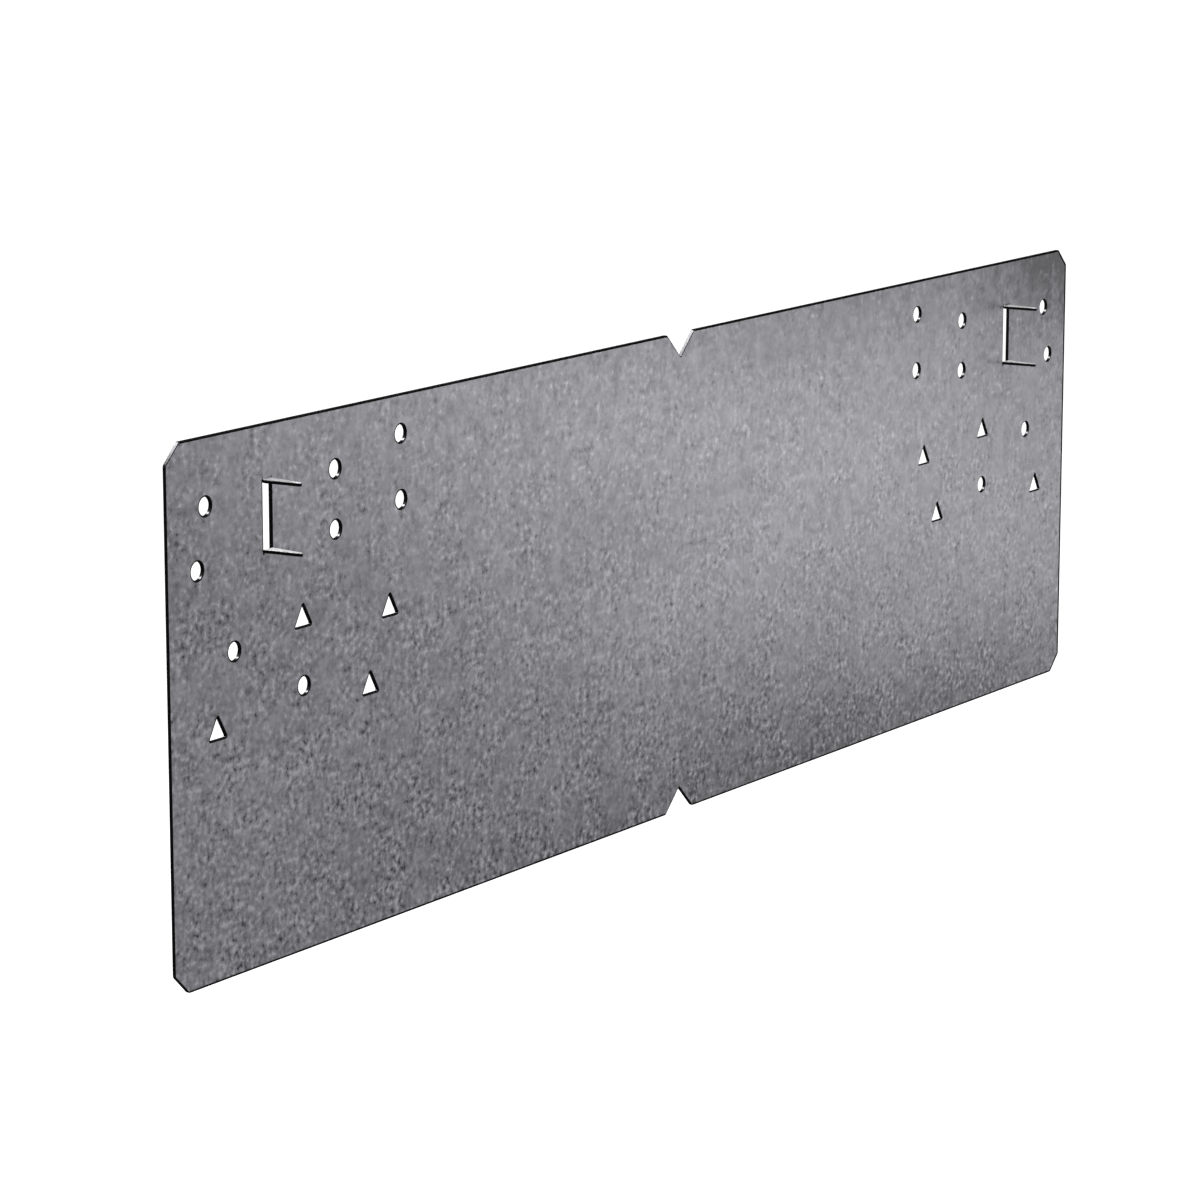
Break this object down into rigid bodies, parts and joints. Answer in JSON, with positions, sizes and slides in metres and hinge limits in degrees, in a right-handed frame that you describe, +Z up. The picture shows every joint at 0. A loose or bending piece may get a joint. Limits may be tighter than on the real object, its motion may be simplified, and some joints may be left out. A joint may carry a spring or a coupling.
{
  "type": "nail stop plate",
  "caption": "Flat galvanised steel shield plate with round and triangular nail holes, V-notched edges and folded prongs, nailed over studs to guard pipes and cables.",
  "frame": {"origin": "middle of the stud face, at mid-length and mid-height", "axes": "+X along the plate's length, +Y out of the wall from the stud face to the outer face, +Z up; the prongs point to -Y"},
  "size_m": [0.4144, 0.0108, 0.127],
  "materials": {
    "galvanised_steel": "hot-dip zinc with a fine spangle, satin"
  },
  "bodies": {
    "root": {"nail_stop_plate": "galvanised_steel"}
  },
  "joints": []
}
